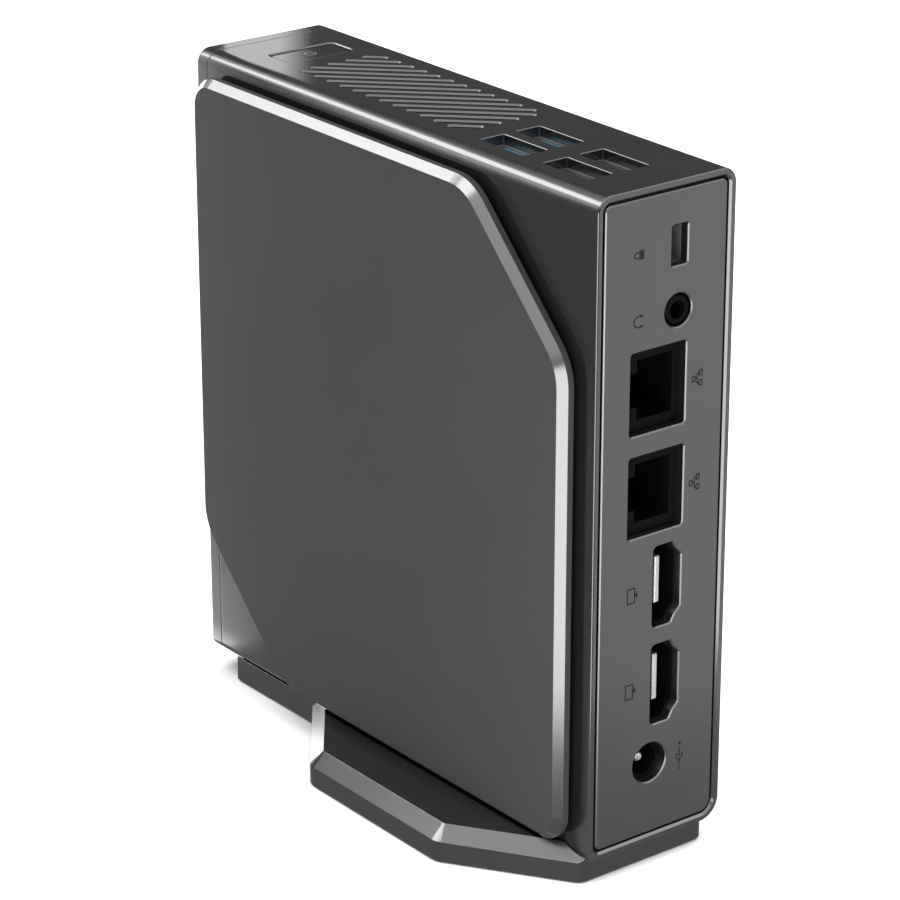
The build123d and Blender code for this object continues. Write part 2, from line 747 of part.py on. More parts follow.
with BuildPart() as fan_screws:
    rods(across_x(fan_back - 1.0), fan_screw_spots, 1.0, fan_lid_top - fan_back)
    rods(across_x(fan_back - 2.2), fan_screw_spots, 2.0, 1.2)
fan_screws.part.label = "fan_screws"
export_step(fan_screws.part, "parts/fan_screws.step")

with BuildPart() as fan_bearing:
    rods(across_x(fan_floor), fan_hub, 2.0, 7.0)
    rods(across_x(fan_floor), fan_hub, bearing_bore, 7.0, Mode.SUBTRACT)
fan_bearing.part.label = "fan_bearing"
export_step(fan_bearing.part, "parts/fan_bearing.step")

with BuildPart() as fan_stator:
    rods(across_x(fan_floor), fan_hub, 9.6, 6.6)
    rods(across_x(fan_floor), fan_hub, 2.0, 6.6, Mode.SUBTRACT)
fan_stator.part.label = "fan_stator"
export_step(fan_stator.part, "parts/fan_stator.step")

rotor_back = fan_floor + 1.0
rotor_top = fan_lid - 0.7

with BuildPart() as fan_rotor:
    rods(across_x(rotor_back), fan_hub, hub_radius, rotor_top - rotor_back)
    rods(across_x(rotor_back), fan_hub, hub_radius - 1.4, rotor_top - rotor_back - 1.4, Mode.SUBTRACT)
    rods(across_x(fan_floor + 0.3), fan_hub, shaft_radius, rotor_top - 1.0 - fan_floor - 0.3)
    with BuildSketch(across_x(rotor_back)):
        with Locations(fan_hub[0]):
            Circle(blade_tip)
            Circle(hub_radius - 0.4, mode=Mode.SUBTRACT)
    extrude(amount=0.8)
    with BuildSketch(across_x(rotor_back + 0.4)):
        with Locations(fan_hub[0]):
            with PolarLocations((blade_root + blade_tip) / 2 - 0.4, blade_count):
                Rectangle(blade_tip - blade_root, 0.8, rotation=32)
    extrude(amount=rotor_top - rotor_back - 0.6)
fan_rotor.part.label = "fan_rotor"
export_step(fan_rotor.part, "parts/fan_rotor.step")

# ---- power stage on the component side: chokes and capacitors ----
choke_spots = [(24.5, 34 + 9 * number) for number in range(4)]
capacitor_spots = [(33.5, 34 + 9 * number) for number in range(4)]

with BuildPart() as chokes:
    with BuildSketch(across_x(board_front)):
        with Locations(*choke_spots):
            RectangleRounded(6.6, 6.6, 0.8)
    extrude(amount=3.2)
chokes.part.label = "chokes"
export_step(chokes.part, "parts/chokes.step")

with BuildPart() as capacitors:
    rods(across_x(board_front), capacitor_spots, 2.6, 5.8)
    fillet(faces().filter_by(Axis.X).group_by(Axis.X)[-1].edges(), 0.5)
capacitors.part.label = "capacitors"
export_step(capacitors.part, "parts/capacitors.step")

# ---- memory, storage, radio and clock battery on the board's back ----
memory_y = (-51.0, -19.0)
memory_z = (20.0, 87.6)
memory_x = (-10.8, -9.6)
socket_y = (-22.5, -14.5)

with BuildPart(case) as memory_socket:
    block((board_back - 4.0, socket_y[0], memory_z[0] - 2.0), (board_back, socket_y[1], memory_z[1] + 2.0))
    for arm_z in (memory_z[0] - 2.0, memory_z[1] + 0.4):
        block((board_back - 3.4, -48.0, arm_z), (board_back, socket_y[0], arm_z + 1.6))
    block(
        (memory_x[0], socket_y[0] - 0.1, memory_z[0] - 0.2),
        (memory_x[1], memory_y[1] + 0.2, memory_z[1] + 0.2),
        Mode.SUBTRACT,
    )
memory_socket.part.label = "memory_socket"
export_step(memory_socket.part, "parts/memory_socket.step")

with BuildPart(case) as memory_module:
    block((memory_x[0] + 0.05, memory_y[0], memory_z[0]), (memory_x[1] - 0.05, memory_y[1], memory_z[1]))
memory_module.part.label = "memory_module"
export_step(memory_module.part, "parts/memory_module.step")

with BuildPart(case) as memory_chips:
    for number in range(4):
        chip_z = memory_z[0] + 4.5 + number * 15.6
        block((memory_x[0] - 0.95, -44.0, chip_z), (memory_x[0] + 0.05, -32.5, chip_z + 10.5))
memory_chips.part.label = "memory_chips"
export_step(memory_chips.part, "parts/memory_chips.step")

card_x = (-10.4, -9.6)
card_socket_height = 4.2
cards = {"ssd": ((0.0, 22.0), (26.0, 106.0)), "radio": ((28.0, 50.0), (66.0, 96.0))}
card_posts = []

for name, (card_y, card_z) in cards.items():
    middle_y = sum(card_y) / 2
    card_posts.append((middle_y, card_z[0]))
    with BuildPart(case) as card_socket:
        block(
            (board_back - card_socket_height, card_y[0], card_z[1] - 3.0),
            (board_back, card_y[1], card_z[1] + 4.0),
        )
        block(
            (card_x[0], card_y[0] + 0.5, card_z[1] - 3.1),
            (card_x[1], card_y[1] - 0.5, card_z[1] + 1.2),
            Mode.SUBTRACT,
        )
    card_socket.part.label = f"{name}_socket"
    export_step(card_socket.part, f"parts/{name}_socket.step")

    with BuildPart(case) as card:
        block((card_x[0] + 0.02, card_y[0] + 1, card_z[0]), (card_x[1] - 0.02, card_y[1] - 1, card_z[1]))
        rods(across_x(card_x[0]), [(middle_y, card_z[0])], 1.8, 1.0, Mode.SUBTRACT)
        block(
            (card_x[0] - 1.1, card_y[0] + 3, card_z[0] + 9),
            (card_x[0] + 0.1, card_y[1] - 3, card_z[0] + 9 + 0.45 * (card_z[1] - card_z[0])),
        )
    card.part.label = f"{name}_card"
    export_step(card.part, f"parts/{name}_card.step")

with BuildPart() as card_standoffs:
    rods(across_x(card_x[1]), card_posts, 2.6, board_back - card_x[1])
    rods(across_x(card_x[1]), card_posts, 0.8, board_back - card_x[1], Mode.SUBTRACT)
card_standoffs.part.label = "card_standoffs"
export_step(card_standoffs.part, "parts/card_standoffs.step")

with BuildPart() as card_screws:
    rods(across_x(card_x[0] - 0.9), card_posts, 2.5, 0.9)
    rods(across_x(card_x[0]), card_posts, 0.75, 2.4)
card_screws.part.label = "card_screws"
export_step(card_screws.part, "parts/card_screws.step")

with BuildPart() as clock_battery:
    rods(across_x(board_back - 3.4), [(40, 40)], 10.0, 3.2)
    fillet(edges().filter_by(GeomType.CIRCLE), 0.5)
clock_battery.part.label = "clock_battery"
export_step(clock_battery.part, "parts/clock_battery.step")

with BuildPart() as battery_holder:
    rods(across_x(board_back - 3.0), [(40, 40)], 11.4, 3.0)
    rods(across_x(board_back - 3.0), [(40, 40)], 10.1, 3.0, Mode.SUBTRACT)
battery_holder.part.label = "battery_holder"
export_step(battery_holder.part, "parts/battery_holder.step")

with BuildPart(case) as antennas:
    for antenna_y in (-38.0, 14.0):
        block((-9.0, antenna_y - 16, 2.05), (9.0, antenna_y + 16, 2.65))
antennas.part.label = "antennas"
export_step(antennas.part, "parts/antennas.step")

# ---- stand: a slab with a foot out to each side, and rubber pads under it ----
pad_height = 0.5
slab_half = 15.35
slab_front = -54.3
slab_rear = 62.7
slab_top = case_lift + 0.6
foot_reach = 32.25
foot_front = (-26.4, -4.0)
foot_rear = (38.0, slab_rear)
foot_top = case_lift + 2.2
foot_chamfer = 2.8
cradle_gap = 0.2

wall_top = foot_top - foot_chamfer

with BuildPart() as foot_tops:
    # the chamfered upper part of both feet; its outline runs on under the case
    with BuildSketch(Plane.XY.offset(wall_top)):
        front_slope = (foot_front[1] - foot_front[0]) / (foot_reach - slab_half)
        rear_slope = (foot_rear[1] - foot_rear[0]) / (foot_reach - slab_half)
        with BuildLine():
            Polyline(
                (0, foot_front[1] - foot_reach * front_slope),
                (foot_reach, foot_front[1]),
                (foot_reach, foot_rear[0]),
                (0, foot_rear[0] + foot_reach * rear_slope),
                (-foot_reach, foot_rear[0]),
                (-foot_reach, foot_front[1]),
                close=True,
            )
        make_face()
        fillet(vertices().filter_by(lambda corner: abs(corner.X) > foot_reach - 1), 4.0)
    extrude(amount=foot_chamfer, taper=45)

with BuildPart() as stand_base:
    with BuildSketch(Plane.XY.offset(pad_height)) as stand_plan:
        with BuildLine():
            Polyline(
                (slab_half, slab_front),
                (slab_half, foot_front[0]),
                (foot_reach, foot_front[1]),
                (foot_reach, foot_rear[0]),
                (slab_half, foot_rear[1]),
                (-slab_half, foot_rear[1]),
                (-foot_reach, foot_rear[0]),
                (-foot_reach, foot_front[1]),
                (-slab_half, foot_front[0]),
                (-slab_half, slab_front),
                close=True,
            )
        make_face()
        fillet(vertices().filter_by(lambda corner: abs(corner.X) > foot_reach - 1), 4.0)
        fillet(vertices().group_by(Axis.Y)[-1], 2.5)
    extrude(amount=foot_top - pad_height)
    add(foot_tops.part, mode=Mode.INTERSECT)
    extrude(stand_plan.sketch, amount=wall_top - pad_height)
    with BuildSketch(Plane.XY.offset(wall_top - 1)):
        with Locations((0, slab_front / 2)):
            Rectangle(2 * slab_half, -slab_front)
    extrude(amount=slab_top - wall_top + 1)

    # the cradle: the case's own section, a little wider
    cradle_width = case_width + 2 * cradle_gap
    cradle_plane = Plane(origin=(case_x, half_depth + 2, case_lift), x_dir=(1, 0, 0), z_dir=(0, -1, 0))
    with BuildSketch(cradle_plane):
        with Locations((0, 10)):
            Rectangle(cradle_width, 20)
        fillet(vertices().group_by(Axis.Y)[0].sort_by(Axis.X)[0], base_back_radius)
        fillet(vertices().group_by(Axis.Y)[0].sort_by(Axis.X)[-1], base_radius)
    extrude(amount=case_depth + 4, mode=Mode.SUBTRACT)

    # shallow pockets for the pads
    with BuildSketch(Plane.XY.offset(pad_height)) as pad_plan:
        with Locations((0, slab_front + 6.4)):
            RectangleRounded(2 * slab_half - 0.8, 12.0, 2.0)
        with Locations((0, slab_rear - 4.4)):
            RectangleRounded(2 * slab_half - 3.0, 8.0, 2.0)
        with Locations((-foot_reach + 4.4, 17.0), (foot_reach - 4.4, 17.0)):
            RectangleRounded(8.0, 38.0, 3.0)
    extrude(amount=0.5, mode=Mode.SUBTRACT)
stand_base.part.label = "stand_base"
export_step(stand_base.part, "parts/stand_base.step")

with BuildPart() as stand_pads:
    with BuildSketch(Plane.XY):
        add(pad_plan.sketch_local)
        offset(amount=-0.05, kind=Kind.INTERSECTION)
    extrude(amount=pad_height + 0.5)
    chamfer(faces().filter_by(Axis.Z).group_by(Axis.Z)[0].edges(), 0.15)
stand_pads.part.label = "stand_pads"
export_step(stand_pads.part, "parts/stand_pads.step")
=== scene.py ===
import math

import bmesh
import bpy
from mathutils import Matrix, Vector


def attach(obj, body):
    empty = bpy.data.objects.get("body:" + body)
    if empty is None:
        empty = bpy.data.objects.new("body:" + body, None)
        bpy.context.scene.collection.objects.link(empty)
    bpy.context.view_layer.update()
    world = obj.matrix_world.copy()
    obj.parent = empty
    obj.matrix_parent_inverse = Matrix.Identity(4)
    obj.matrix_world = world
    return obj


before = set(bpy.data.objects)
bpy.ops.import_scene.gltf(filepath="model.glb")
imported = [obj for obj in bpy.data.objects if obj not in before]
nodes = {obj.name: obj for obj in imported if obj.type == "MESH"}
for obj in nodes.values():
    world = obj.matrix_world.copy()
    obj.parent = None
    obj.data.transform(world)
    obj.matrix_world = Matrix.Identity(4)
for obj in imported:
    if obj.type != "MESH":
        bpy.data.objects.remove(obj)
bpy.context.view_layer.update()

# A slim upright mini pc on its foot stand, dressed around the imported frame.
# +Z is up and +Y is the rear with the sockets. Lengths are metres, and MM turns millimetres into them.

MM = 0.001


# ---- shader building ----

def add_node(tree, kind, inputs=None, **settings):
    """A shader node with its settings, and its inputs set to a value or linked to a socket."""
    node = tree.nodes.new(kind)
    for name, value in settings.items():
        setattr(node, name, value)
    for name, value in (inputs or {}).items():
        if isinstance(value, bpy.types.NodeSocket):
            tree.links.new(value, node.inputs[name])
        else:
            node.inputs[name].default_value = value
    return node


def noise(tree, place, size, detail=3.0, roughness=0.55):
    """Noise whose features are about size metres across."""
    inputs = {"Vector": place, "Scale": 1 / size, "Detail": detail, "Roughness": roughness}
    return add_node(tree, "ShaderNodeTexNoise", inputs).outputs["Fac"]


def remap(tree, value, low, high, start=0.3, end=0.7):
    """The value's range from start to end, spread from low to high."""
    inputs = {"Value": value, "From Min": start, "From Max": end, "To Min": low, "To Max": high}
    return add_node(tree, "ShaderNodeMapRange", inputs).outputs["Result"]


def blend_colours(tree, factor, first, second):
    """A colour between two, each a socket or an (r, g, b)."""
    node = add_node(tree, "ShaderNodeMix", data_type="RGBA")
    sockets = {0: factor, 6: first, 7: second}
    for index, value in sockets.items():
        if isinstance(value, bpy.types.NodeSocket):
            tree.links.new(value, node.inputs[index])
        elif isinstance(value, tuple):
            node.inputs[index].default_value = (*value, 1.0)
        else:
            node.inputs[index].default_value = value
    return node.outputs[2]


def arithmetic(tree, operation, first, second):
    """One sum on two values, each a socket or a number."""
    return add_node(tree, "ShaderNodeMath", {0: first, 1: second}, operation=operation).outputs[0]


def edge_mask(tree, radius):
    """1 at sharp edges and 0 on flat ground, from how far a rounded normal leans away."""
    bevel = add_node(tree, "ShaderNodeBevel", {"Radius": radius}, samples=6)
    geometry = add_node(tree, "ShaderNodeNewGeometry")
    dot = add_node(
        tree,
        "ShaderNodeVectorMath",
        {0: bevel.outputs["Normal"], 1: geometry.outputs["Normal"]},
        operation="DOT_PRODUCT",
    )
    return bevel.outputs["Normal"], remap(tree, dot.outputs["Value"], 1.0, 0.0, 0.8, 0.995)


def surface(
    name,
    colour,
    metallic=0.0,
    roughness=0.5,
    tone=0.12,
    grain=0.2 * MM,
    relief=0.006 * MM,
    patch=14 * MM,
    spread=0.05,
    edge=0.0,
    edge_radius=0.12 * MM,
    fixed=None,
):
    """A finish with grain, soft patches in colour and gloss, and edges painted lighter as a highlight.

    tone is how far the colour varies, spread how far the roughness does, and edge how much
    the edges lighten. fixed holds the shader's uniform inputs."""
    material = bpy.data.materials.new(name)
    material.use_nodes = True
    tree = material.node_tree
    shader = tree.nodes["Principled BSDF"]
    place = add_node(tree, "ShaderNodeTexCoord").outputs["Object"]
    fine = noise(tree, place, grain, 4.0, 0.65)
    broad = noise(tree, place, patch)
    fine_part = arithmetic(tree, "MULTIPLY", fine, 0.45)
    broad_part = arithmetic(tree, "MULTIPLY", broad, 0.55)
    mixed = arithmetic(tree, "ADD", fine_part, broad_part)
    dark = tuple(c * (1 - tone) for c in colour)
    light = tuple(min(1.0, c * (1 + tone)) for c in colour)
    ground = blend_colours(tree, remap(tree, mixed, 0.0, 1.0), dark, light)
    gloss = remap(tree, mixed, roughness - spread, roughness + spread)
    normal_in = {}
    if edge > 0:
        rounded, mask = edge_mask(tree, edge_radius)
        # Lighter colour along sharp edges is a painted highlight, broken into patches by noise.
        edge_highlight_colour = tuple(min(1.0, c * (1 + 2.2 * edge) + 0.25 * edge) for c in colour)
        highlight_breakup = remap(tree, noise(tree, place, 1.5 * MM), 0.35, 1.0)
        ground = blend_colours(tree, arithmetic(tree, "MULTIPLY", mask, highlight_breakup), ground, edge_highlight_colour)
        normal_in = {"Normal": rounded}
    bump = add_node(
        tree,
        "ShaderNodeBump",
        {"Height": fine, "Distance": relief, "Strength": 0.7, **normal_in},
    )
    tree.links.new(ground, shader.inputs["Base Color"])
    tree.links.new(gloss, shader.inputs["Roughness"])
    tree.links.new(bump.outputs["Normal"], shader.inputs["Normal"])
    shader.inputs["Metallic"].default_value = metallic
    for socket, value in (fixed or {}).items():
        shader.inputs[socket].default_value = value
    return material


def grey(level, warmth=0.0):
    return (level * (1 + warmth), level, level * (1 + warmth / 2))


# ---- finishes ----

def shell_finish():
    """Satin gunmetal coat of the case, the front cover and the stand."""
    return surface(
        "gunmetal_satin", grey(0.215, 0.02), 0.95, 0.17, 0.05, 0.10 * MM, 0.0008 * MM, 18 * MM, 0.02, 0.25
    )


def plate_finish():
    """The floating plate: a matt dark face with a bright, finely cut chamfer round it."""
    material = surface("plate_matt", grey(0.055), 0.0, 0.6, 0.05, 0.14 * MM, 0.002 * MM, 22 * MM, 0.03)
    tree = material.node_tree
    shader = tree.nodes["Principled BSDF"]
    place = add_node(tree, "ShaderNodeTexCoord")
    facing = add_node(tree, "ShaderNodeSeparateXYZ", {0: place.outputs["Normal"]}).outputs["X"]
    cut = add_node(tree, "ShaderNodeValToRGB", {"Fac": facing})
    ramp = cut.color_ramp
    ramp.interpolation = "LINEAR"
    ramp.elements[0].position = 0.55
    ramp.elements[0].color = (0, 0, 0, 1)
    ramp.elements[1].position = 0.62
    ramp.elements[1].color = (1, 1, 1, 1)
    for position, level in ((0.80, 1), (0.92, 0)):
        ramp.elements.new(position).color = (level, level, level, 1)
    mask = cut.outputs["Color"]
    old_colour = shader.inputs["Base Color"].links[0].from_socket
    old_gloss = shader.inputs["Roughness"].links[0].from_socket
    lines = noise(tree, place.outputs["Object"], 0.08 * MM, 2.0)
    bright = blend_colours(tree, lines, grey(0.23), grey(0.27))
    tree.links.new(blend_colours(tree, mask, old_colour, bright), shader.inputs["Base Color"])
    polish = remap(tree, lines, 0.18, 0.24)
    cut_gloss = arithmetic(tree, "MULTIPLY", mask, arithmetic(tree, "SUBTRACT", polish, old_gloss))
    tree.links.new(arithmetic(tree, "ADD", old_gloss, cut_gloss), shader.inputs["Roughness"])
    tree.links.new(remap(tree, mask, 0.25, 1.0, 0.0, 1.0), shader.inputs["Metallic"])
    return material


def board_finish():
    """Dark green laminate with the faint pattern of copper runs under its mask."""
    material = surface("board_laminate", (0.006, 0.035, 0.018), 0.0, 0.38, 0.2, 0.5 * MM, 0.01 * MM)
    tree = material.node_tree
    shader = tree.nodes["Principled BSDF"]
    place = add_node(tree, "ShaderNodeTexCoord").outputs["Object"]
    cells = add_node(
        tree,
        "ShaderNodeTexBrick",
        {
            "Vector": place,
            "Scale": 1 / (9 * MM),
            "Mortar Size": 0.03,
            "Color1": (0, 0, 0, 1),
            "Color2": (0.1, 0.1, 0.1, 1),
            "Mortar": (1, 1, 1, 1),
        },
    )
    runs = arithmetic(tree, "MULTIPLY", cells.outputs["Fac"], 0.6)
    old_colour = shader.inputs["Base Color"].links[0].from_socket
    tree.links.new(blend_colours(tree, runs, old_colour, (0.03, 0.11, 0.05)), shader.inputs["Base Color"])
    return material


def make_finishes():
    """One finish for each material slot of the record."""
    steel = {"metallic": 1.0, "grain": 0.25 * MM, "relief": 0.004 * MM, "edge": 0.2}
    resin = {"grain": 0.12 * MM, "relief": 0.002 * MM, "fixed": {"Specular IOR Level": 0.12}}
    jack = {**resin, "fixed": {"Specular IOR Level": 0.06}}
    return {
        "shell_metal": shell_finish(),
        "plate_metal": plate_finish(),
        "panel_metal": surface(
            "panel_satin", grey(0.26, 0.03), 1.0, 0.33, 0.05, 0.12 * MM, 0.0015 * MM, 20 * MM, 0.03, 0.2
        ),
        "stand_metal": surface(
            "stand_satin", grey(0.215, 0.02), 1.0, 0.22, 0.05, 0.12 * MM, 0.0012 * MM, 18 * MM, 0.03, 0.25
        ),
        "cover_plastic": surface(
            "cover_texture", grey(0.035), 0.0, 0.58, 0.12, 0.35 * MM, 0.02 * MM, 18 * MM, 0.06, 0.1
        ),
        "button_metal": surface(
            "button_satin", grey(0.22, 0.02), 1.0, 0.18, 0.05, 0.10 * MM, 0.0008 * MM, 10 * MM, 0.02, 0.3
        ),
        "rubber_black": surface(
            "rubber_black", grey(0.018), 0.0, 0.72, 0.25, 0.3 * MM, 0.02 * MM, 6 * MM, 0.08
        ),
        "screw_steel": surface("screw_black", grey(0.10), roughness=0.36, **steel),
        "post_steel": surface("post_steel", grey(0.45), roughness=0.32, **steel),
        "socket_steel": surface(
            "socket_steel", grey(0.20), 0.3, 0.5, 0.08, 0.2 * MM, 0.002 * MM, 8 * MM, edge=0.2
        ),
        "tongue_blue": surface(
            "tongue_blue", (0.06, 0.22, 0.32), 0.0, 0.4, 0.12, 0.12 * MM, 0.002 * MM, 5 * MM
        ),
        "tongue_black": surface("tongue_black", grey(0.05), 0.0, 0.4, 0.12, 0.12 * MM, 0.002 * MM, 5 * MM),
        "contact_gold": surface("contact_gold", (0.72, 0.50, 0.18), 1.0, 0.22, 0.1, 0.2 * MM, 0.002 * MM),
        "jack_plastic": surface("jack_plastic", grey(0.004), 0.0, 0.34, 0.25, **jack),
        "pin_nickel": surface("pin_nickel", grey(0.90), 0.85, 0.22, 0.03, 0.15 * MM, 0.0004 * MM),
        "board_laminate": board_finish(),
        "chip_resin": surface("chip_resin", grey(0.022), 0.0, 0.5, 0.2, **resin),
        "can_aluminium": surface("can_aluminium", grey(0.62), 1.0, 0.34, 0.08, 0.3 * MM, 0.006 * MM),
        "copper": surface("copper", (0.62, 0.29, 0.16), 1.0, 0.28, 0.15, 0.3 * MM, 0.005 * MM),
        "fan_plastic": surface("fan_plastic", grey(0.02), 0.0, 0.42, 0.2, **resin),
        "battery_steel": surface("battery_steel", grey(0.60), 1.0, 0.26, 0.06, 0.3 * MM, 0.004 * MM),
        "antenna_foil": surface("antenna_foil", (0.50, 0.42, 0.28), 1.0, 0.4, 0.15, 1.0 * MM, 0.02 * MM),
    }


def dress_nodes(finishes):
    """Puts the finish that its slot names on every CAD node."""
    for node in nodes.values():
        for slot in node.material_slots:
            slot.material = finishes[slot.material.name.split(".")[0]]


# ---- printed marks: generic port symbols and a power symbol ----

INK = 0.02
CASE_PLACE = Vector((-1.55, 0.0, 5.2))


def ribbon(shape, points, width, closed=False):
    """A flat line of one width through its points, INK thick, in the mark's own plane."""
    flat = [Vector(point) for point in points]
    rows = []
    for index, point in enumerate(flat):
        before = flat[index - 1] if closed or index else point
        after = flat[(index + 1) % len(flat)] if closed or index < len(flat) - 1 else point
        heading = ((point - before).normalized() + (after - point).normalized()).normalized()
        straight = (after - point if after != point else point - before).normalized()
        reach = width / 2 / max(0.5, heading.dot(straight))
        offset = Vector((-heading.y, heading.x)) * reach
        corners = [(point + offset, INK), (point - offset, INK), (point - offset, 0.0), (point + offset, 0.0)]
        rows.append([shape.verts.new((*corner, level)) for corner, level in corners])
    steps = len(rows) if closed else len(rows) - 1
    for index in range(steps):
        first, second = rows[index], rows[(index + 1) % len(rows)]
        for side in range(4):
            other = (side + 1) % 4
            shape.faces.new((first[side], second[side], second[other], first[other]))
    if not closed:
        shape.faces.new(rows[0])
        shape.faces.new(reversed(rows[-1]))


def arc(centre, radius, start, end, steps=20):
    """Points along an arc, its angles in degrees."""
    angles = [math.radians(start + (end - start) * step / steps) for step in range(steps + 1)]
    return [(centre[0] + radius * math.cos(angle), centre[1] + radius * math.sin(angle)) for angle in angles]


def rectangle(low, high):
    """The four corners between two opposite ones."""
    return [low, (high[0], low[1]), high, (low[0], high[1])]


LINE = 0.28
SHACKLE = [(-0.55, 0.2), (-0.55, 0.8), *arc((0, 0.8), 0.55, 180, 0, 10)[1:-1], (0.55, 0.8), (0.55, 0.2)]
SYMBOLS = {
    "lock": [
        ([(-0.9, -0.4), (0.9, -0.4)], 1.2, False),
        (SHACKLE, LINE, False),
    ],
    "headphones": [
        (arc((0, -0.1), 1.1, 200, -20), LINE, False),
        ([(-1.0, -0.45), (-1.0, -1.2)], 0.5, False),
        ([(1.0, -0.45), (1.0, -1.2)], 0.5, False),
    ],
    "network": [
        (rectangle((-0.5, 0.5), (0.5, 1.2)), LINE, True),
        (rectangle((-1.5, -1.2), (-0.5, -0.5)), LINE, True),
        (rectangle((0.5, -1.2), (1.5, -0.5)), LINE, True),
        ([(0, 0.5), (0, 0.0)], LINE, False),
        ([(-1.0, -0.5), (-1.0, 0.0), (1.0, 0.0), (1.0, -0.5)], LINE, False),
    ],
    "monitor": [
        (rectangle((-1.5, -0.6), (1.5, 1.2)), LINE, True),
        ([(0, -0.6), (0, -1.1)], 0.5, False),
        ([(-0.7, -1.15), (0.7, -1.15)], LINE, False),
    ],
    "power_inlet": [
        (arc((0, 0), 0.75, 40, 320), LINE, False),
        ([(-0.2, 0), (0.2, 0)], 0.4, False),
        ([(0.2, 0), (1.9, 0)], LINE, False),
        ([(-0.75, 0), (-1.9, 0)], LINE, False),
        ([(2.3, 0), (3.1, 0)], LINE, False),
        ([(2.7, 0.4), (2.7, -0.4)], LINE, False),
        ([(-3.1, 0), (-2.3, 0)], LINE, False),
    ],
    "power": [
        (arc((0, 0), 1.15, 125, 415), LINE, False),
        ([(0, 0.3), (0, 1.5)], LINE, False),
    ],
}
REAR_MARKS = [
    ("mark_lock", "lock", 6.47, 122.23),
    ("mark_audio", "headphones", 6.63, 109.25),
    ("mark_network_upper", "network", -8.35, 94.77),
    ("mark_network_lower", "network", -8.31, 73.64),
    ("mark_display_upper", "monitor", 6.72, 54.04),
    ("mark_display_lower", "monitor", 6.73, 33.87),
    ("mark_power_inlet", "power_inlet", -6.31, 16.39),
]
REAR_FACE = 64.3
BUTTON_FACE = (0.0, -47.25, 134.75)


def printed_mark(name, symbol, place, right, up, body, ink):
    """A symbol printed flat on a face: place is on the face in the case's frame."""
    shape = bmesh.new()
    for points, width, closed in SYMBOLS[symbol]:
        ribbon(shape, points, width, closed)
    outward = right.cross(up)
    for vert in shape.verts:
        local = vert.co.copy()
        spot = CASE_PLACE + Vector(place) + right * local.x + up * local.y + outward * local.z
        vert.co = spot * MM
    bmesh.ops.recalc_face_normals(shape, faces=shape.faces)
    mesh = bpy.data.meshes.new(name)
    shape.to_mesh(mesh)
    shape.free()
    mesh.materials.append(ink)
    mark = bpy.data.objects.new(name, mesh)
    bpy.context.scene.collection.objects.link(mark)
    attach(mark, body)


def make_marks():
    """The port symbols stand on their side, as the case would lie flat; the power symbol is on its button."""
    dark_ink = surface("ink_dark", grey(0.012), 0.0, 0.55, 0.15, 0.1 * MM, 0.001 * MM, 2 * MM)
    pale_ink = surface("ink_pale", grey(0.30), 0.0, 0.5, 0.1, 0.1 * MM, 0.001 * MM, 2 * MM)
    for name, symbol, x, z in REAR_MARKS:
        printed_mark(name, symbol, (x, REAR_FACE, z), Vector((0, 0, 1)), Vector((1, 0, 0)), "case", dark_ink)
    button_right, button_up = Vector((0, 1, 0)), Vector((-1, 0, 0))
    printed_mark("mark_power", "power", BUTTON_FACE, button_right, button_up, "power_button", pale_ink)


# ---- floor, light and camera ----

FLOOR_RADIUS = 3.0
FLOOR_LIGHT = 4.6
FLOOR_LIGHT_SPREAD = math.radians(80)


def make_floor():
    """A plain pale floor, kept out of the metal's reflections."""
    mesh = bpy.data.meshes.new("floor")
    shape = bmesh.new()
    bmesh.ops.create_circle(shape, cap_ends=True, segments=96, radius=FLOOR_RADIUS)
    shape.to_mesh(mesh)
    shape.free()
    floor = bpy.data.objects.new("floor", mesh)
    bpy.context.scene.collection.objects.link(floor)
    paper = surface("floor_paper", grey(0.86), 0.0, 0.9, 0.01, 0.8 * MM, 0.01 * MM, 300 * MM, 0.02)
    mesh.materials.append(paper)
    floor.visible_glossy = False
    floor.visible_shadow = False
    return floor


def light_group(name, objects, state):
    """A collection that keeps a lamp's light on these objects alone, or off them."""
    group = bpy.data.collections.new(name)
    for obj in objects:
        group.objects.link(obj)
    for member in group.collection_objects:
        member.light_linking.link_state = state
    return group


def fade(lamp, axis, dim, full, power):
    """Fades a lamp from full to dim along one world axis, the two ends given in millimetres."""
    lamp.use_nodes = True
    tree = lamp.node_tree
    place = add_node(tree, "ShaderNodeNewGeometry").outputs["Position"]
    along = add_node(tree, "ShaderNodeSeparateXYZ", {0: place}).outputs[axis]
    level = remap(tree, along, 0.0, 1.0, dim * MM, full * MM)
    emission = next(node for node in tree.nodes if node.type == "EMISSION")
    tree.links.new(arithmetic(tree, "POWER", level, power), emission.inputs["Strength"])


def softbox(name, centre, target, size, radiance, group, falloff=None):
    """A flat lamp turned to its target, of one brightness all over unless it has a falloff.

    Places are in millimetres."""
    lamp = bpy.data.lights.new(name, "AREA")
    lamp.shape = "RECTANGLE"
    lamp.size = size[0] * MM
    lamp.size_y = size[1] * MM
    lamp.energy = radiance * math.pi * lamp.size * lamp.size_y
    holder = bpy.data.objects.new(name, lamp)
    bpy.context.scene.collection.objects.link(holder)
    holder.location = Vector(centre) * MM
    holder.rotation_mode = "QUATERNION"
    holder.rotation_quaternion = (Vector(target) - Vector(centre)).to_track_quat("-Z", "Y")
    holder.visible_camera = False
    holder.light_linking.receiver_collection = group
    if falloff:
        fade(lamp, *falloff)


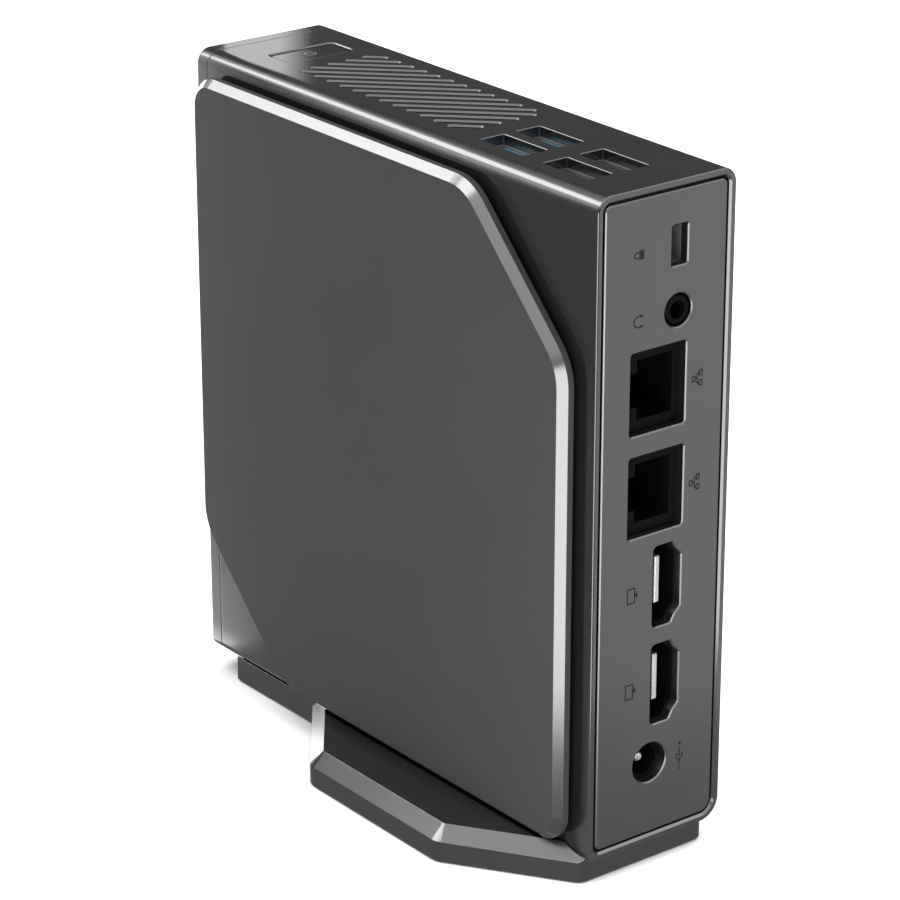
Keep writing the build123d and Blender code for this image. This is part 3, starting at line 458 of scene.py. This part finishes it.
def make_lights(floor):
    """Softboxes round the object, and a broad lamp overhead for the floor alone."""
    stand = nodes["stand_base"]
    off_floor = light_group("off_floor", [floor], "EXCLUDE")
    off_stand = light_group("off_stand", [floor, stand], "EXCLUDE")
    stand_alone = light_group("stand_alone", [stand], "INCLUDE")
    floor_alone = light_group("floor_alone", [floor], "INCLUDE")
    upper_fade = ("X", -31, -22.5, 1.0)
    softbox("front_upper", (-22.5, -88, 152.5), (-22.5, 0, 152.5), (29, 21), 1.2, off_floor, upper_fade)
    softbox("front_lower", (-3, -88, 67), (-3, 0, 67), (56, 150), 3.3, off_floor)
    softbox("side_card", (43, -88, 69), (43, 0, 69), (38, 162), 1.0, off_floor, ("X", 62, 24, 2.0))
    softbox("front_key", (485, -870, 790), (10, 0, 125), (460, 300), 3.2, off_stand)
    softbox("front_fill", (430, -870, 716), (10, 0, 125), (780, 500), 0.9, off_stand)
    softbox("stand_key", (165, -290, 397), (10, 0, 125), (420, 185), 3.9, stand_alone)
    softbox("front_low", (275, -290, 165), (10, 0, 125), (90, 230), 1.25, off_floor, ("Z", 30, 260, 2.0))
    softbox("right_top", (250, -100, 400), (20, 0, 60), (190, 190), 2.9, off_floor)
    softbox("floor_glow", (10, 20, -3), (10, 20, 50), (170, 260), 0.16, off_floor)
    softbox("floor_front", (0, -105, -3), (0, -105, 50), (60, 60), 1.6, off_floor)
    softbox("rear_right", (105, 125, 57), (10, 30, 57), (90, 150), 2.9, off_floor)
    softbox("rear_left", (-100, 170, 67), (0, 64, 67), (110, 205), 0.47, off_floor)
    sun = bpy.data.lights.new("overhead", "SUN")
    sun.energy = FLOOR_LIGHT
    sun.angle = FLOOR_LIGHT_SPREAD
    holder = bpy.data.objects.new("overhead", sun)
    bpy.context.scene.collection.objects.link(holder)
    holder.light_linking.receiver_collection = floor_alone


def make_world():
    """A dim studio with a bright ceiling; the camera itself sees only the pale backdrop."""
    world = bpy.data.worlds.new("studio")
    bpy.context.scene.world = world
    world.use_nodes = True
    tree = world.node_tree
    sky = tree.nodes["Background"]
    direction = add_node(tree, "ShaderNodeTexCoord").outputs["Generated"]
    parts = add_node(tree, "ShaderNodeSeparateXYZ", {0: direction}).outputs
    height = arithmetic(tree, "ADD", parts["Z"], arithmetic(tree, "MULTIPLY", parts["Y"], 0.25))
    ceiling = add_node(
        tree,
        "ShaderNodeMapRange",
        {"Value": height, "From Min": 0.40, "From Max": 0.62, "To Min": 0.11, "To Max": 1.05},
        interpolation_type="SMOOTHSTEP",
    ).outputs["Result"]
    tree.links.new(blend_colours(tree, ceiling, (0, 0, 0), (1, 1, 1)), sky.inputs["Color"])
    backdrop = add_node(tree, "ShaderNodeBackground", {"Color": (0.93, 0.93, 0.93, 1)})
    seen = add_node(tree, "ShaderNodeLightPath").outputs["Is Camera Ray"]
    choice = add_node(tree, "ShaderNodeMixShader", {0: seen, 1: sky.outputs[0], 2: backdrop.outputs[0]})
    tree.links.new(choice.outputs[0], tree.nodes["World Output"].inputs["Surface"])


CAMERA_PLACE = (417.15, 537.3, 339.2)
CAMERA_AZIMUTH = math.radians(142.105)
CAMERA_ELEVATION = math.radians(21.767)
CAMERA_LENS = 144.41
SENSOR = 36


def make_camera():
    """A long lens behind the object, on the plate's side and a little above."""
    camera_data = bpy.data.cameras.new("camera")
    camera_data.lens = CAMERA_LENS
    camera_data.sensor_width = SENSOR
    camera_data.clip_start = 10 * MM
    camera_data.clip_end = 20.0
    camera = bpy.data.objects.new("camera", camera_data)
    bpy.context.scene.collection.objects.link(camera)
    level = math.cos(CAMERA_ELEVATION)
    back = Vector((
        math.sin(CAMERA_AZIMUTH) * level,
        -math.cos(CAMERA_AZIMUTH) * level,
        math.sin(CAMERA_ELEVATION),
    ))
    camera.location = Vector(CAMERA_PLACE) * MM
    camera.rotation_mode = "QUATERNION"
    camera.rotation_quaternion = (-back).to_track_quat("-Z", "Y")
    bpy.context.scene.camera = camera


dress_nodes(make_finishes())
make_marks()
make_lights(make_floor())
make_world()
make_camera()
bpy.context.scene.view_settings.view_transform = "Standard"
